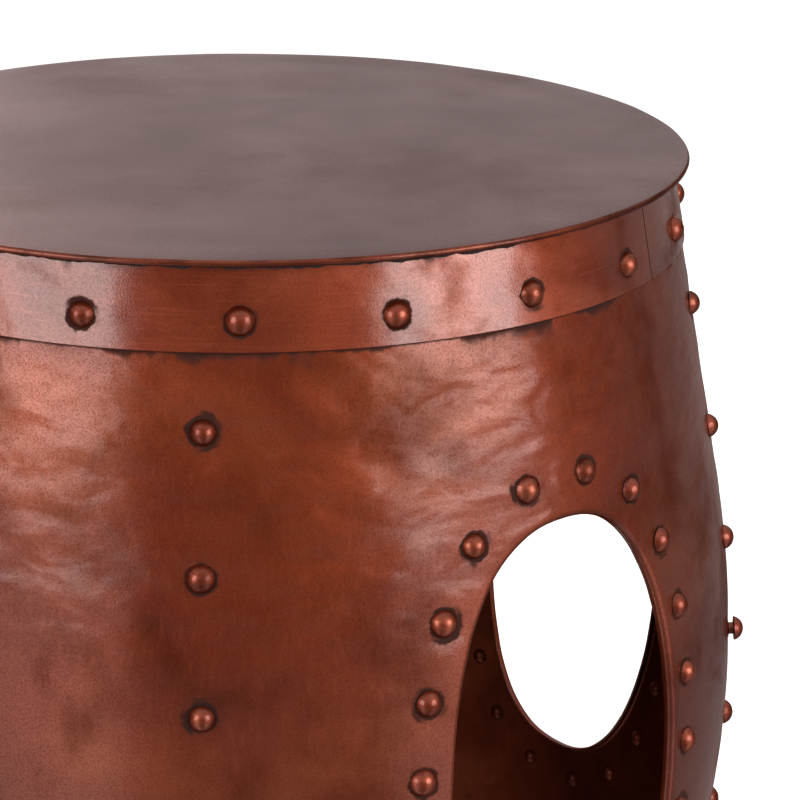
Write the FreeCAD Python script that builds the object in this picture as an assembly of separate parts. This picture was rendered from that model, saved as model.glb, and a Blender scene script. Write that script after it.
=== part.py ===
import FreeCAD, Part
import math
import os
from FreeCAD import Vector

# Whole table, mm. The floor is at height 0 and the drum's axis is the Z axis.
overall_height = 450.0
rim_diameter = 363.0
rim_overhang = 6.6
belly_diameter = 416.4
belly_arc_height = 169.0

# Sheet of the wall, the tabletop and the base ring.
sheet_thickness = 1.2
hem_slit = 0.2
hem_seat = 3.0
base_ring_land = 34.0

# Bands around the two ends of the wall.
band_thickness = 1.2
band_height = 31.0
band_seam_gap = 0.6
band_seam_angle = 22.1
band_rivet_count = 20
band_rivet_angle = -1.9
band_rivet_rise = 10.7

# Oval openings, measured square on, centred a little above the mid-plane. The exponent makes
# them fuller than an ellipse.
opening_count = 4
opening_width = 114.0
opening_height = 225.4
opening_rise = 3.0
opening_exponent = 2.34
lip_radius = 2.6
lip_straight = 1.8

# Rivets around each opening, turned about it by a share of their pitch.
ring_rivet_count = 22
ring_side_gap = 12.8
ring_end_gap = 17.1
ring_turn_share = 0.064

# Lapped seams between the wall panels. The front and back panels cover the side panels. The rivet
# line of a seam is at this angle from the opening of the panel that covers it, and the rivet
# heights are shares of the wall left clear by the bands.
seam_angle = 42.0
lap_margin = 12.0
joggle_width = 6.0
tongue_end_gap = 2.0
seam_rivet_shares = (-0.856, -0.584, -0.324, -0.107, 0.107, 0.324, 0.584, 0.856)

# Round-head rivets, one size throughout.
rivet_head_diameter = 10.2
rivet_head_height = 3.9
rivet_shank_diameter = 5.0
rivet_tail_diameter = 7.6
rivet_tail_height = 2.0
rivet_hole_clearance = 0.1
rivet_seat_gap = 0.02

# Solder run in the corners under the rim and above the base.
solder_leg = 2.4
solder_clearance = 0.05

# Floor pads under the base ring.
pad_count = 4
pad_height = 3.0
pad_diameter = 22.0
pad_edge_radius = 0.6
pad_angle = 45.0

full_turn = 360.0
curve_points = 32
measure_steps = 2000
settle_steps = 40
axis = Vector(0, 0, 1)
origin = Vector(0, 0, 0)

# Heights and radii that follow from the sizes above.
hem_thickness = 2 * sheet_thickness + hem_slit
wall_top = overall_height - hem_thickness
wall_bottom = pad_height + hem_thickness
mid_height = (wall_top + wall_bottom) / 2
half_height = (wall_top - wall_bottom) / 2
clear_half_height = half_height - band_height
rim_radius = rim_diameter / 2
band_top_radius = rim_radius - rim_overhang
lip_depth = lip_radius + lip_straight
panel_angle = full_turn / opening_count
lap_angle = math.degrees(lap_margin / (belly_diameter / 2))
joggle_angle = math.degrees(joggle_width / (belly_diameter / 2))

# The wall is an arc at the belly that runs on into straight cones. The cone is tangent to the arc
# and carries the outer face of the band to its radius under the rim.
cone_angle = 0
for _ in range(settle_steps):
    cone_run = belly_diameter / 2 - band_top_radius + band_thickness / math.cos(cone_angle)
    cone_run -= belly_arc_height / 2 * math.tan(cone_angle / 2)
    cone_angle = math.atan2(cone_run, half_height - belly_arc_height / 2)
belly_arc_radius = belly_arc_height / 2 / math.sin(cone_angle)
arc_centre = belly_diameter / 2 - belly_arc_radius


def wall_radius(rise, depth):
    """Radius of the wall at a rise above the mid-plane, at a depth under its outer face."""
    arc = belly_arc_radius - depth
    tangent_rise = arc * math.sin(cone_angle)
    if abs(rise) <= tangent_rise:
        return arc_centre + math.sqrt(arc**2 - rise**2)
    tangent_radius = arc_centre + arc * math.cos(cone_angle)
    return tangent_radius - (abs(rise) - tangent_rise) * math.tan(cone_angle)


def wall_tilt(rise):
    """Angle of the wall's outward normal above the horizontal."""
    arc_tilt = math.asin(max(-1, min(1, rise / belly_arc_radius)))
    return max(-cone_angle, min(cone_angle, arc_tilt))


def section_point(rise, depth):
    return Vector(wall_radius(rise, depth), 0, mid_height + rise)


def section_edges(depth, low, high):
    """Edges of the wall's section at one depth, from a low rise to a high one."""
    bend = (belly_arc_radius - depth) * math.sin(cone_angle)
    stops = [low] + [rise for rise in (-bend, bend) if low < rise < high] + [high]
    edges = []
    for start, stop in zip(stops, stops[1:]):
        first = section_point(start, depth)
        last = section_point(stop, depth)
        middle = (start + stop) / 2
        if abs(middle) < bend:
            edges.append(Part.Arc(first, section_point(middle, depth), last).toShape())
        else:
            edges.append(Part.LineSegment(first, last).toShape())
    return edges


def wall_sector(outer, inner, low, high, start, stop):
    """Solid between two depths and two rises, swept from a start to a stop angle."""
    edges = section_edges(outer, low, high) + section_edges(inner, low, high)
    for rise in (low, high):
        ends = (section_point(rise, outer), section_point(rise, inner))
        edges.append(Part.LineSegment(*ends).toShape())
    face = Part.Face(Part.Wire(Part.__sortEdges__(edges)))
    face.rotate(origin, axis, start)
    return face.revolve(origin, axis, stop - start)


def oval_point(half_width, half_height, share):
    """Point across and up from an oval's centre, at a share of its turn."""
    turn = 2 * math.pi * share
    power = 2 / opening_exponent
    across = math.copysign(abs(math.cos(turn)) ** power, math.cos(turn))
    up = math.copysign(abs(math.sin(turn)) ** power, math.sin(turn))
    return half_width * across, half_height * up


def oval_prism(grow, depth):
    """Oval prism square to the panel's middle, from a depth under the belly to outside it."""
    inside = wall_radius(half_height, depth) - lip_depth
    points = []
    for step in range(curve_points):
        sizes = (opening_width / 2 + grow, opening_height / 2 + grow)
        across, up = oval_point(*sizes, step / curve_points)
        points.append(Vector(inside, across, mid_height + opening_rise + up))
    curve = Part.BSplineCurve()
    curve.interpolate(points, PeriodicFlag=True)
    face = Part.Face(Part.Wire([curve.toShape()]))
    return face.extrude(Vector(belly_diameter / 2 + lip_depth - inside, 0, 0))


def oval_edges(solid, grow, depth):
    """Edges of a solid where an oval prism meets the wall at a depth."""
    found = []
    slack = sheet_thickness / 4
    for edge in solid.Edges:
        if edge.Length < 2 * sheet_thickness:
            continue
        close = True
        for share in (0.1, 0.35, 0.6, 0.85):
            where = edge.FirstParameter + share * (edge.LastParameter - edge.FirstParameter)
            point = edge.valueAt(where)
            rise = point.z - mid_height
            radius = math.hypot(point.x, point.y)
            across = abs(point.y) / (opening_width / 2 + grow)
            up = abs(rise - opening_rise) / (opening_height / 2 + grow)
            reach = (across**opening_exponent + up**opening_exponent) ** (1 / opening_exponent)
            off_oval = abs(reach - 1) * opening_width / 2
            off_wall = abs(radius - wall_radius(rise, depth))
            close = close and off_oval < slack and off_wall < slack
        if close:
            found.append(edge)
    return found


def ring_places():
    """Angle and rise of each rivet around an opening, evenly spaced along its oval."""
    half_width = opening_width / 2 + ring_side_gap
    half_tall = opening_height / 2 + ring_end_gap
    points = [oval_point(half_width, half_tall, step / measure_steps) for step in range(measure_steps + 1)]
    walked = [0]
    for before, after in zip(points, points[1:]):
        walked.append(walked[-1] + math.dist(before, after))
    places = []
    for index in range(ring_rivet_count):
        goal = walked[-1] * (index + ring_turn_share) / ring_rivet_count
        step = min(range(measure_steps), key=lambda each: abs(walked[each] - goal))
        across, up = points[step]
        rise = opening_rise + up
        places.append((math.degrees(math.asin(across / wall_radius(rise, 0))), rise))
    return places


def seam_places(angle):
    return [(angle, clear_half_height * share) for share in seam_rivet_shares]


def band_places(side):
    """Angle and rise of every rivet of the upper (1) or lower (-1) band."""
    rise = side * (clear_half_height + band_rivet_rise)
    pitch = full_turn / band_rivet_count
    return [(band_rivet_angle + pitch * index, rise) for index in range(band_rivet_count)]


def placed(shape, angle, rise, depth):
    """Copy of a shape made along +Z, stood on the wall with +Z along its outward normal."""
    copy = shape.copy()
    copy.rotate(origin, Vector(0, 1, 0), full_turn / 4 - math.degrees(wall_tilt(rise)))
    tilt = wall_tilt(rise)
    radius = wall_radius(rise, 0) - depth * math.cos(tilt)
    copy.translate(Vector(radius, 0, mid_height + rise - depth * math.sin(tilt)))
    copy.rotate(origin, axis, angle)
    return copy


def rivet(grip):
    """Domed head on the face at height 0, shank through the grip and peened tail beyond it."""
    head = rivet_head_diameter / 2
    shank = rivet_shank_diameter / 2
    tail = rivet_tail_diameter / 2
    sag = tail**2 / (2 * wall_radius(half_height, 0))
    seat = -grip - sag - rivet_seat_gap
    end = seat - rivet_tail_height

    def cap(radius, foot, height):
        size = abs(height)
        ball = (radius**2 + size**2) / (2 * size)
        opening = math.atan2(radius, ball - size)
        side = math.copysign(1, height)
        rise = size - ball + ball * math.cos(opening / 2)
        middle = Vector(ball * math.sin(opening / 2), 0, foot + side * rise)
        return Part.Arc(Vector(radius, 0, foot), middle, Vector(0, 0, foot + height)).toShape()

    corners = [Vector(head, 0, 0), Vector(shank, 0, 0), Vector(shank, 0, seat), Vector(tail, 0, seat)]
    edges = [Part.LineSegment(first, last).toShape() for first, last in zip(corners, corners[1:])]
    edges.append(cap(head, 0, rivet_head_height))
    edges.append(cap(tail, seat, -rivet_tail_height))
    edges.append(Part.LineSegment(Vector(0, 0, end), Vector(0, 0, rivet_head_height)).toShape())
    face = Part.Face(Part.Wire(Part.__sortEdges__(edges)))
    return face.revolve(origin, axis, full_turn)


def rivet_hole(depth):
    """Drill that clears one sheet or a stack of sheets down to a depth under the wall's face."""
    radius = rivet_shank_diameter / 2 + rivet_hole_clearance
    reach = band_thickness + sheet_thickness
    return Part.makeCylinder(radius, depth + 2 * reach, Vector(0, 0, -depth - reach))


def wall_panel(covers):
    """Wall panel with its opening on the +X side, with a rolled lip and rivet holes.

    A covering panel runs on past the seam rivets, a covered one ends in joggled tongues behind them.
    """
    edge = seam_angle + lap_angle if covers else panel_angle - seam_angle - lap_angle
    seam = seam_angle if covers else panel_angle - seam_angle
    sheet = wall_sector(0, sheet_thickness, -half_height, half_height, -edge, edge)
    hole = oval_prism(0, lip_depth)
    lip_layer = wall_sector(0, lip_depth, -half_height, half_height, -edge, edge)
    joined = [oval_prism(sheet_thickness, lip_depth).common(lip_layer).cut(hole)]
    if not covers:
        tall = clear_half_height - tongue_end_gap
        layer = (sheet_thickness, 2 * sheet_thickness, -tall, tall)
        root = edge - joggle_angle
        tip = edge + 2 * lap_angle
        joined += [wall_sector(*layer, root, tip), wall_sector(*layer, -tip, -root)]
    panel = sheet.fuse(joined).cut(hole).removeSplitter().Solids[0]
    inner_edges = oval_edges(panel, sheet_thickness, sheet_thickness)
    panel = panel.makeFillet(lip_radius - sheet_thickness, inner_edges)
    panel = panel.makeFillet(lip_radius, oval_edges(panel, 0, 0))
    drill = rivet_hole(2 * sheet_thickness)
    places = ring_places() + seam_places(-seam) + seam_places(seam)
    for side in (1, -1):
        for angle, rise in band_places(side):
            nearest = (angle + edge) % full_turn - edge
            if nearest < edge:
                places.append((nearest, rise))
    drills = [placed(drill, angle, rise, 0) for angle, rise in places]
    return panel.cut(drills).Solids[0]


def hemmed_plate(inner_radius):
    """Sheet plate with its rim folded under, with its upper face at the overall height."""
    fold = rim_radius - hem_thickness / 2
    back = wall_radius(half_height, sheet_thickness) - hem_seat
    under = overall_height - sheet_thickness
    low = overall_height - hem_thickness
    rim = Part.Arc(
        Vector(fold, 0, overall_height),
        Vector(rim_radius, 0, overall_height - hem_thickness / 2),
        Vector(fold, 0, low),
    )
    slit = Part.Arc(
        Vector(fold, 0, low + sheet_thickness),
        Vector(fold + hem_slit / 2, 0, overall_height - hem_thickness / 2),
        Vector(fold, 0, under),
    )
    fold_back = [
        Vector(fold, 0, low),
        Vector(back, 0, low),
        Vector(back, 0, low + sheet_thickness),
        Vector(fold, 0, low + sheet_thickness),
    ]
    plate = [
        Vector(fold, 0, under),
        Vector(inner_radius, 0, under),
        Vector(inner_radius, 0, overall_height),
        Vector(fold, 0, overall_height),
    ]
    edges = [rim.toShape(), slit.toShape()]
    for corners in (fold_back, plate):
        edges += [Part.LineSegment(first, last).toShape() for first, last in zip(corners, corners[1:])]
    face = Part.Face(Part.Wire(Part.__sortEdges__(edges)))
    return face.revolve(origin, axis, full_turn)


def end_band():
    """Upper band: a hoop that follows the wall, with a butt seam and rivet holes."""
    gap = math.degrees(band_seam_gap / band_top_radius)
    start = band_seam_angle + gap / 2
    hoop = wall_sector(-band_thickness, 0, clear_half_height, half_height, start, start + full_turn - gap)
    drill = rivet_hole(sheet_thickness)
    return hoop.cut([placed(drill, angle, rise, 0) for angle, rise in band_places(1)]).Solids[0]


def solder_run():
    """Solder in the corner between the upper band and the rim."""
    face_depth = -band_thickness - solder_clearance
    corner = section_point(half_height, face_depth)
    foot = section_point(half_height - solder_leg, face_depth)
    toe = corner + Vector(solder_leg, 0, 0)
    face = Part.Face(Part.makePolygon([corner, toe, foot, corner]))
    return face.revolve(origin, axis, full_turn)


def floor_pads():
    """Round pads on the floor, under the flat of the base ring."""
    radius = wall_radius(half_height, sheet_thickness) - base_ring_land / 2
    pads = []
    for index in range(pad_count):
        pad = Part.makeCylinder(pad_diameter / 2, pad_height, Vector(radius, 0, 0))
        circles = [edge for edge in pad.Edges if edge.Closed]
        lower_rim = [edge for edge in circles if abs(edge.BoundBox.ZMax) < pad_edge_radius]
        pad = pad.makeFillet(pad_edge_radius, lower_rim)
        pad.rotate(origin, axis, pad_angle + index * full_turn / pad_count)
        pads.append(pad)
    return Part.makeCompound(pads)


def turned(shape, angle):
    copy = shape.copy()
    copy.rotate(origin, axis, angle)
    return copy


def mirrored(shape):
    """The same piece for the lower end of the drum."""
    return shape.mirror(Vector(0, 0, mid_height), axis)


def rivets(places, grip, depth):
    """Group of rivets whose heads sit at a depth under the wall's outer face."""
    one = rivet(grip)
    return Part.makeCompound([placed(one, angle, rise, depth) for angle, rise in places])


# The opening of the front panel faces -Y, and the panels are named in turn about +Z. The two
# seams of a covering panel are named in the same turn.
panel_names = ("front", "right", "back", "left")
covered_seams = {"front": ("front_left", "front_right"), "back": ("back_right", "back_left")}
front_angle = -full_turn / 4

panels = {covers: wall_panel(covers) for covers in (True, False)}
ring = rivets(ring_places(), sheet_thickness, 0)
band = end_band()
base_hole = wall_radius(half_height, sheet_thickness) - base_ring_land

pieces = {
    "tabletop": hemmed_plate(0),
    "top_band": turned(band, front_angle),
    "bottom_band": turned(mirrored(band), front_angle),
    "top_solder": solder_run(),
    "bottom_solder": mirrored(solder_run()),
    "base_ring": mirrored(hemmed_plate(base_hole)),
    "floor_pads": floor_pads(),
}
for side, name in ((1, "top_band_rivets"), (-1, "bottom_band_rivets")):
    group = rivets(band_places(side), band_thickness + sheet_thickness, -band_thickness)
    pieces[name] = turned(group, front_angle)
for index, name in enumerate(panel_names):
    angle = front_angle + index * panel_angle
    pieces["wall_panel_" + name] = turned(panels[name in covered_seams], angle)
    pieces["opening_rivets_" + name] = turned(ring, angle)
for name, seams in covered_seams.items():
    angle = front_angle + panel_names.index(name) * panel_angle
    for seam, turn in zip(seams, (-seam_angle, seam_angle)):
        group = rivets(seam_places(turn), 2 * sheet_thickness, 0)
        pieces["seam_rivets_" + seam] = turned(group, angle)

os.makedirs("parts", exist_ok=True)
for name, shape in pieces.items():
    shape.exportStep("parts/" + name + ".step")
    print(name, shape.isValid(), len(shape.Solids), round(shape.Volume))
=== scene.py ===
import math

import bmesh
import bpy
import numpy as np
from mathutils import Matrix, Vector, noise


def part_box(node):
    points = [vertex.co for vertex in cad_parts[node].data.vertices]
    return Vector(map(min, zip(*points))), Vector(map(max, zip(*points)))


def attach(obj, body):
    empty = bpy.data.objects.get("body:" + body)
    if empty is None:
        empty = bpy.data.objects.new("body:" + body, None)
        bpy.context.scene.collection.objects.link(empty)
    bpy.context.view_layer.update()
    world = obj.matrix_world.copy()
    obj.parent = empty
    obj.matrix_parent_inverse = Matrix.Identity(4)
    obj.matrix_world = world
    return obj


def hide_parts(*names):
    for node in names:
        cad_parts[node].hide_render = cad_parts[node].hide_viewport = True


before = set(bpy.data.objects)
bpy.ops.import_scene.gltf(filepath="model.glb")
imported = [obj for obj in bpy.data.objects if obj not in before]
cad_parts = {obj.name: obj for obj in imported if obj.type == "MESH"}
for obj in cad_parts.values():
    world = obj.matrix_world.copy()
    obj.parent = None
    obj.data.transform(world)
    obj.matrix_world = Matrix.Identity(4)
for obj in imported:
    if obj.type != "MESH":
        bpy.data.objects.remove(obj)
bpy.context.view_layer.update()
rng = np.random.default_rng(11)
mm = 0.001
print("frame loaded")


# Sheet metal sizes in mm. Heights and the big radii come from the frame.
drum = {
    "bellyArcHeight": 169.0,
    "sheet": 1.2,
    "hemSlit": 0.2,
    "hemSeat": 3.0,
    "bandHeight": 31.0,
    "rimOverhang": 6.6,
    "baseLand": 34.0,
    "openingWidth": 114.0,
    "openingHeight": 225.4,
    "openingRise": 3.0,
    "openingExponent": 2.34,
    "lipRadius": 2.6,
    "lipDepth": 4.4,
    "seamAngle": 42.0,
    "lapMargin": 12.0,
}

sheet = drum["sheet"] * mm
bandHeight = drum["bandHeight"] * mm
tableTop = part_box("tabletop")[1].z
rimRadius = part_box("tabletop")[1].x
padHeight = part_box("floor_pads")[1].z
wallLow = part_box("wall_panel_front")[0].z
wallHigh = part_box("wall_panel_front")[1].z
midHeight = (wallLow + wallHigh) / 2
halfHeight = (wallHigh - wallLow) / 2
clearHalf = halfHeight - bandHeight
hemThickness = tableTop - wallHigh
bandRadius = rimRadius - drum["rimOverhang"] * mm
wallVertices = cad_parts["wall_panel_front"].data.vertices
bellyRadius = max(math.hypot(vertex.co.x, vertex.co.y) for vertex in wallVertices)

# The wall is an arc at the belly that runs on into straight cones.
tangentRise = drum["bellyArcHeight"] / 2 * mm
settleSteps = 40
coneAngle = 0.0
for step in range(settleSteps):
    coneRun = bellyRadius - bandRadius + sheet / math.cos(coneAngle) - tangentRise * math.tan(coneAngle / 2)
    coneAngle = math.atan2(coneRun, halfHeight - tangentRise)
arcRadius = tangentRise / math.sin(coneAngle)


# Radius of the wall at a rise above the middle, at a depth under its outer face.
def wallRadius(rise, depth):
    rise = np.abs(np.asarray(rise, float))
    arc = arcRadius - depth
    bend = arc * math.sin(coneAngle)
    onArc = bellyRadius - arcRadius + np.sqrt(arc**2 - np.minimum(rise, bend) ** 2)
    return onArc - np.maximum(rise - bend, 0) * math.tan(coneAngle)


def wallTilt(rise):
    return np.clip(np.arcsin(np.clip(rise / arcRadius, -1, 1)), -coneAngle, coneAngle)


# Angles go from the front, which is -Y, towards +X.
def around(angle, radius, height):
    angle, radius, height = np.broadcast_arrays(angle, radius, height)
    return np.stack([radius * np.sin(angle), -radius * np.cos(angle), height], axis=-1)


def wallPoint(angle, rise, depth):
    return around(angle, wallRadius(rise, depth), midHeight + rise)


def wallNormal(angle, rise):
    tilt = wallTilt(rise)
    return around(angle, np.cos(tilt), np.sin(tilt))


# Perlin noise at every point; size is the width of one bump along x, y and z in mm, and shift keeps
# one pattern apart from another.
def noiseAt(points, size, shift=0.0):
    spots = points.reshape(-1, 3) / (np.array(size) * mm) + shift
    values = np.fromiter((noise.noise(spot) for spot in spots.tolist()), float, len(spots))
    return values.reshape(points.shape[:-1])


def smoothStep(low, high, value):
    share = np.clip((value - low) / (high - low), 0, 1)
    return share * share * (3 - 2 * share)


# Quads of a grid of points that is numbered row by row.
def gridFaces(rows, columns, wrapRows, wrapColumns, first=0):
    down = np.arange(rows if wrapRows else rows - 1)[:, None]
    along = np.arange(columns if wrapColumns else columns - 1)[None, :]
    nextDown = (down + 1) % rows
    nextAlong = (along + 1) % columns
    corners = (down * columns + along, down * columns + nextAlong,
               nextDown * columns + nextAlong, nextDown * columns + along)
    return (np.stack(np.broadcast_arrays(*corners), axis=-1).reshape(-1, 4) + first).tolist()


# Quads that close the two open ends of a strip whose rows run out along one face and back along the other.
def endFaces(rows, columns, first=0):
    faces = []
    for end in (0, columns - 1):
        for row in range(rows // 2 - 1):
            mirror = rows - 1 - row
            corners = (row, row + 1, mirror - 1, mirror)
            faces.append([first + place * columns + end for place in corners])
    return faces


# Turns a section of (radius, height) points about +Z: returns points[section, angle].
def turnSection(section, angles):
    section = np.asarray(section, float)
    return around(np.asarray(angles)[None, :], section[:, :1], section[:, 1:])


# Makes one closed mesh, hangs it on the frame and hides the node that it stands for.
def addPiece(name, node, points, faces, materials, faceSlots=None, toRivet=None, crease=35):
    mesh = bpy.data.meshes.new(name)
    mesh.from_pydata(points.reshape(-1, 3).tolist(), [], faces)
    for material in materials:
        mesh.materials.append(material)
    if faceSlots is not None:
        mesh.polygons.foreach_set("material_index", np.asarray(faceSlots, np.int32))
    if toRivet is not None:
        attribute = mesh.attributes.new("toRivet", "FLOAT_VECTOR", "POINT")
        attribute.data.foreach_set("vector", toRivet.astype(np.float32).ravel())
    work = bmesh.new()
    work.from_mesh(mesh)
    bmesh.ops.recalc_face_normals(work, faces=work.faces)
    work.to_mesh(mesh)
    work.free()
    mesh.shade_smooth()
    mesh.set_sharp_from_angle(angle=math.radians(crease))
    piece = bpy.data.objects.new(name, mesh)
    bpy.context.scene.collection.objects.link(piece)
    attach(piece, "root")
    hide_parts(node)


def linear(hexColour):
    channels = [int(hexColour[place:place + 2], 16) / 255 for place in (1, 3, 5)]
    return [c / 12.92 if c <= 0.04045 else ((c + 0.055) / 1.055) ** 2.4 for c in channels] + [1.0]


# Adds a node. Sockets are a list in the node's own order or a dictionary, and each takes a value,
# a node or one of its outputs; the other settings go on the node itself.
def addNode(tree, kind, sockets=(), stops=(), **settings):
    node = tree.nodes.new(kind)
    for name, value in settings.items():
        setattr(node, name, value)
    named = sockets.items() if isinstance(sockets, dict) else enumerate(sockets)
    for socket, value in named:
        if value is None:
            continue
        if isinstance(value, (bpy.types.Node, bpy.types.NodeSocket)):
            source = value.outputs[0] if isinstance(value, bpy.types.Node) else value
            tree.links.new(source, node.inputs[socket])
        else:
            node.inputs[socket].default_value = value
    for place, (position, colour) in enumerate(stops):
        elements = node.color_ramp.elements
        element = elements[place] if place < 2 else elements.new(position)
        element.position = position
        element.color = linear(colour)
    return node


smooth = {"interpolation_type": "SMOOTHSTEP"}  # for a map range that eases in and out


def newMaterial(name):
    material = bpy.data.materials.new(name)
    material.use_nodes = True
    return material, material.node_tree, material.node_tree.nodes["Principled BSDF"]


# The noises of a copper finish: detail, a shift that keeps each apart from the others, and twist.
copperNoise = {
    "cloud": (4.0, 0.0, 0.4),
    "smoke": (5.0, 2.2, 0.25),
    "ripple": (1.3, 3.7, 0.3),
    "grain": (2.0, 8.1, 0.0),
    "streak": (2.0, 6.6, 0.0),
    "ragged": (4.0, 1.3, 0.0),
    "patch": (2.0, 5.9, 0.0),
}
noiseRoughness = 0.55
# The levels of its noise between which each mark goes from least to most.
markSpan = {
    "polish": (0.30, 0.70),
    "smoke": (0.46, 0.70),
    "streak": (0.52, 0.75),
    "pits": (0.45, 0.72),
    "uneven": (0.30, 0.70),
    "worn": (0.42, 0.66),
    "tornHalo": (0.30, 0.70),
    "smear": (0.50, 0.68),
    "grimeAndShade": (0.46, 0.74),
    "tornGrimeAndShade": (0.20, 0.80),
    "beaten": (0.36, 0.58),
}
# Black residue, and the painted shade that it carries at rivet bases and under edges, is dull, hardly
# metallic and has no lacquer on it. Ragged edges move by haloRagged, in mm, and the strip along a band's edge
# reaches a torn share of its width.
residueAndShadeLook = {
    "colour": "#140e0c",
    "roughness": 0.75,
    "metallic": 0.1,
    "glint": 0.2,
    "bareAt": 0.8,
    "haloRagged": 0.75,
    "haloDepth": 0.88,
    "grimeAndShadeTorn": (0.5, 1.5),
    "grimeAndShadeFade": (0.05, 1.3),
    "grimeAndShadeDepth": 0.9,
}
# Hammer ripples are full near the bands, from fullRise in mm, and least is left of them around the belly.
bellyCalm = {"calmRise": 40.0, "fullRise": 105.0, "least": 0.2}


# One recipe for every copper surface of the table: sheet that was blackened, rubbed back until
# the copper showed through and lacquered. Clouds of tone and smoky patches lie over it, streaks and
# fine grain from the rubbing break up the gloss, and black residue stays around the rivets. The black
# ring at each rivet's base and the dark strip along a band's edge are painted shade as well as residue.
def copperFinish(name, look):
    material, tree, shader = newMaterial(name)
    place = addNode(tree, "ShaderNodeTexCoord").outputs["Object"]
    patterns = []
    for kind, (detail, shift, twist) in copperNoise.items():
        perBump = [1 / (side * mm) for side in look[kind + "Size"]]
        spot = addNode(tree, "ShaderNodeVectorMath", [place, perBump, [shift] * 3], operation="MULTIPLY_ADD")
        patterns.append(addNode(tree, "ShaderNodeTexNoise", {
            "Vector": spot, "Scale": 1.0, "Detail": detail,
            "Roughness": noiseRoughness, "Distortion": twist}))
    cloud, smoke, ripple, grain, streak, ragged, patch = patterns

    height = addNode(tree, "ShaderNodeSeparateXYZ", [place]).outputs["Z"]
    rise = addNode(tree, "ShaderNodeMath", [height, midHeight], operation="SUBTRACT")
    rise = addNode(tree, "ShaderNodeMath", [rise], operation="ABSOLUTE")

    # Clouds of tone under smoky patches, light streaks and dark grain.
    colour = addNode(tree, "ShaderNodeValToRGB", [cloud], zip(look["toneStops"], look["tones"]))
    depth = look["smokeDepth"]
    sooty = addNode(tree, "ShaderNodeMapRange", [smoke, *markSpan["smoke"], 0.0, depth], **smooth)
    colour = addNode(tree, "ShaderNodeMixRGB", [sooty, colour, linear(look["smokeColour"])])
    rubbed = addNode(tree, "ShaderNodeMapRange", [streak, *markSpan["streak"], 0.0, look["streakTone"]])
    colour = addNode(tree, "ShaderNodeMixRGB", [rubbed, colour, linear(look["tones"][-1])])
    pits = addNode(tree, "ShaderNodeMapRange", [grain, *markSpan["pits"], 0.0, look["grainTone"]])
    colour = addNode(tree, "ShaderNodeMixRGB", [pits, colour, linear(look["grainColour"])])

    # Gloss: duller where it is smoky, uneven with the grain, under a lacquer that the grain breaks.
    polished, dull = look["roughness"]
    rough = addNode(tree, "ShaderNodeMapRange", [cloud, *markSpan["polish"], dull, polished])
    rough = addNode(tree, "ShaderNodeMath", [sooty, look["smokeRough"], rough], operation="MULTIPLY_ADD")
    spread = look["grainRough"]
    uneven = addNode(tree, "ShaderNodeMapRange", [grain, *markSpan["uneven"], -spread, spread])
    rough = addNode(tree, "ShaderNodeMath", [rough, uneven], operation="ADD")
    coats = (look["coat"], look["smokeCoat"] * look["coat"])
    lacquer = addNode(tree, "ShaderNodeMapRange", [sooty, 0.0, depth, *coats])
    worn = addNode(tree, "ShaderNodeMapRange", [grain, *markSpan["worn"], 1.0, 1.0 - look["grainCoat"]])
    lacquer = addNode(tree, "ShaderNodeMath", [lacquer, worn], operation="MULTIPLY")

    if look["rivetHalo"]:
        # Black residue with a ragged edge: a halo around each rivet, with smears on some of them. The ring
        # next to the head is also painted shade of the gap under the head.
        away = addNode(tree, "ShaderNodeAttribute", attribute_name="toRivet").outputs["Vector"]
        gap = addNode(tree, "ShaderNodeVectorMath", [away], operation="LENGTH").outputs["Value"]
        shift = residueAndShadeLook["haloRagged"] * mm
        torn = addNode(tree, "ShaderNodeMapRange", [ragged, *markSpan["tornHalo"], shift, -shift])
        gap = addNode(tree, "ShaderNodeMath", [gap, torn], operation="ADD")
        black = residueAndShadeLook["haloDepth"]
        ring, smear = [
            addNode(tree, "ShaderNodeMapRange", [gap, full * mm, none * mm, black, 0.0], **smooth)
            for full, none in look["rivetHalo"]]
        heavy = addNode(tree, "ShaderNodeMapRange", [patch, *markSpan["smear"]], **smooth)
        smear = addNode(tree, "ShaderNodeMath", [smear, heavy], operation="MULTIPLY")
        residueAndShade = addNode(tree, "ShaderNodeMath", [ring, smear], operation="MAXIMUM")

        # A strip of it lies along the band's edge, wide in some places and thin in others: grime, and painted
        # shade under the edge of the band on the wall and under the hem on a band.
        below = addNode(tree, "ShaderNodeMath", [look["grimeAndShadeRise"], rise], operation="SUBTRACT")
        widths = [width * mm for width in look["edgeGrimeAndShade"]]
        reach = addNode(tree, "ShaderNodeMapRange", [patch, *markSpan["grimeAndShade"], *widths])
        shares = residueAndShadeLook["grimeAndShadeTorn"]
        torn = addNode(tree, "ShaderNodeMapRange", [ragged, *markSpan["tornGrimeAndShade"], *shares])
        reach = addNode(tree, "ShaderNodeMath", [reach, torn], operation="MULTIPLY")
        share = addNode(tree, "ShaderNodeMath", [below, reach], operation="DIVIDE")
        fade = (*residueAndShadeLook["grimeAndShadeFade"], residueAndShadeLook["grimeAndShadeDepth"], 0.0)
        strip = addNode(tree, "ShaderNodeMapRange", [share, *fade], **smooth)
        residueAndShade = addNode(tree, "ShaderNodeMath", [residueAndShade, strip], operation="MAXIMUM")

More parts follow.
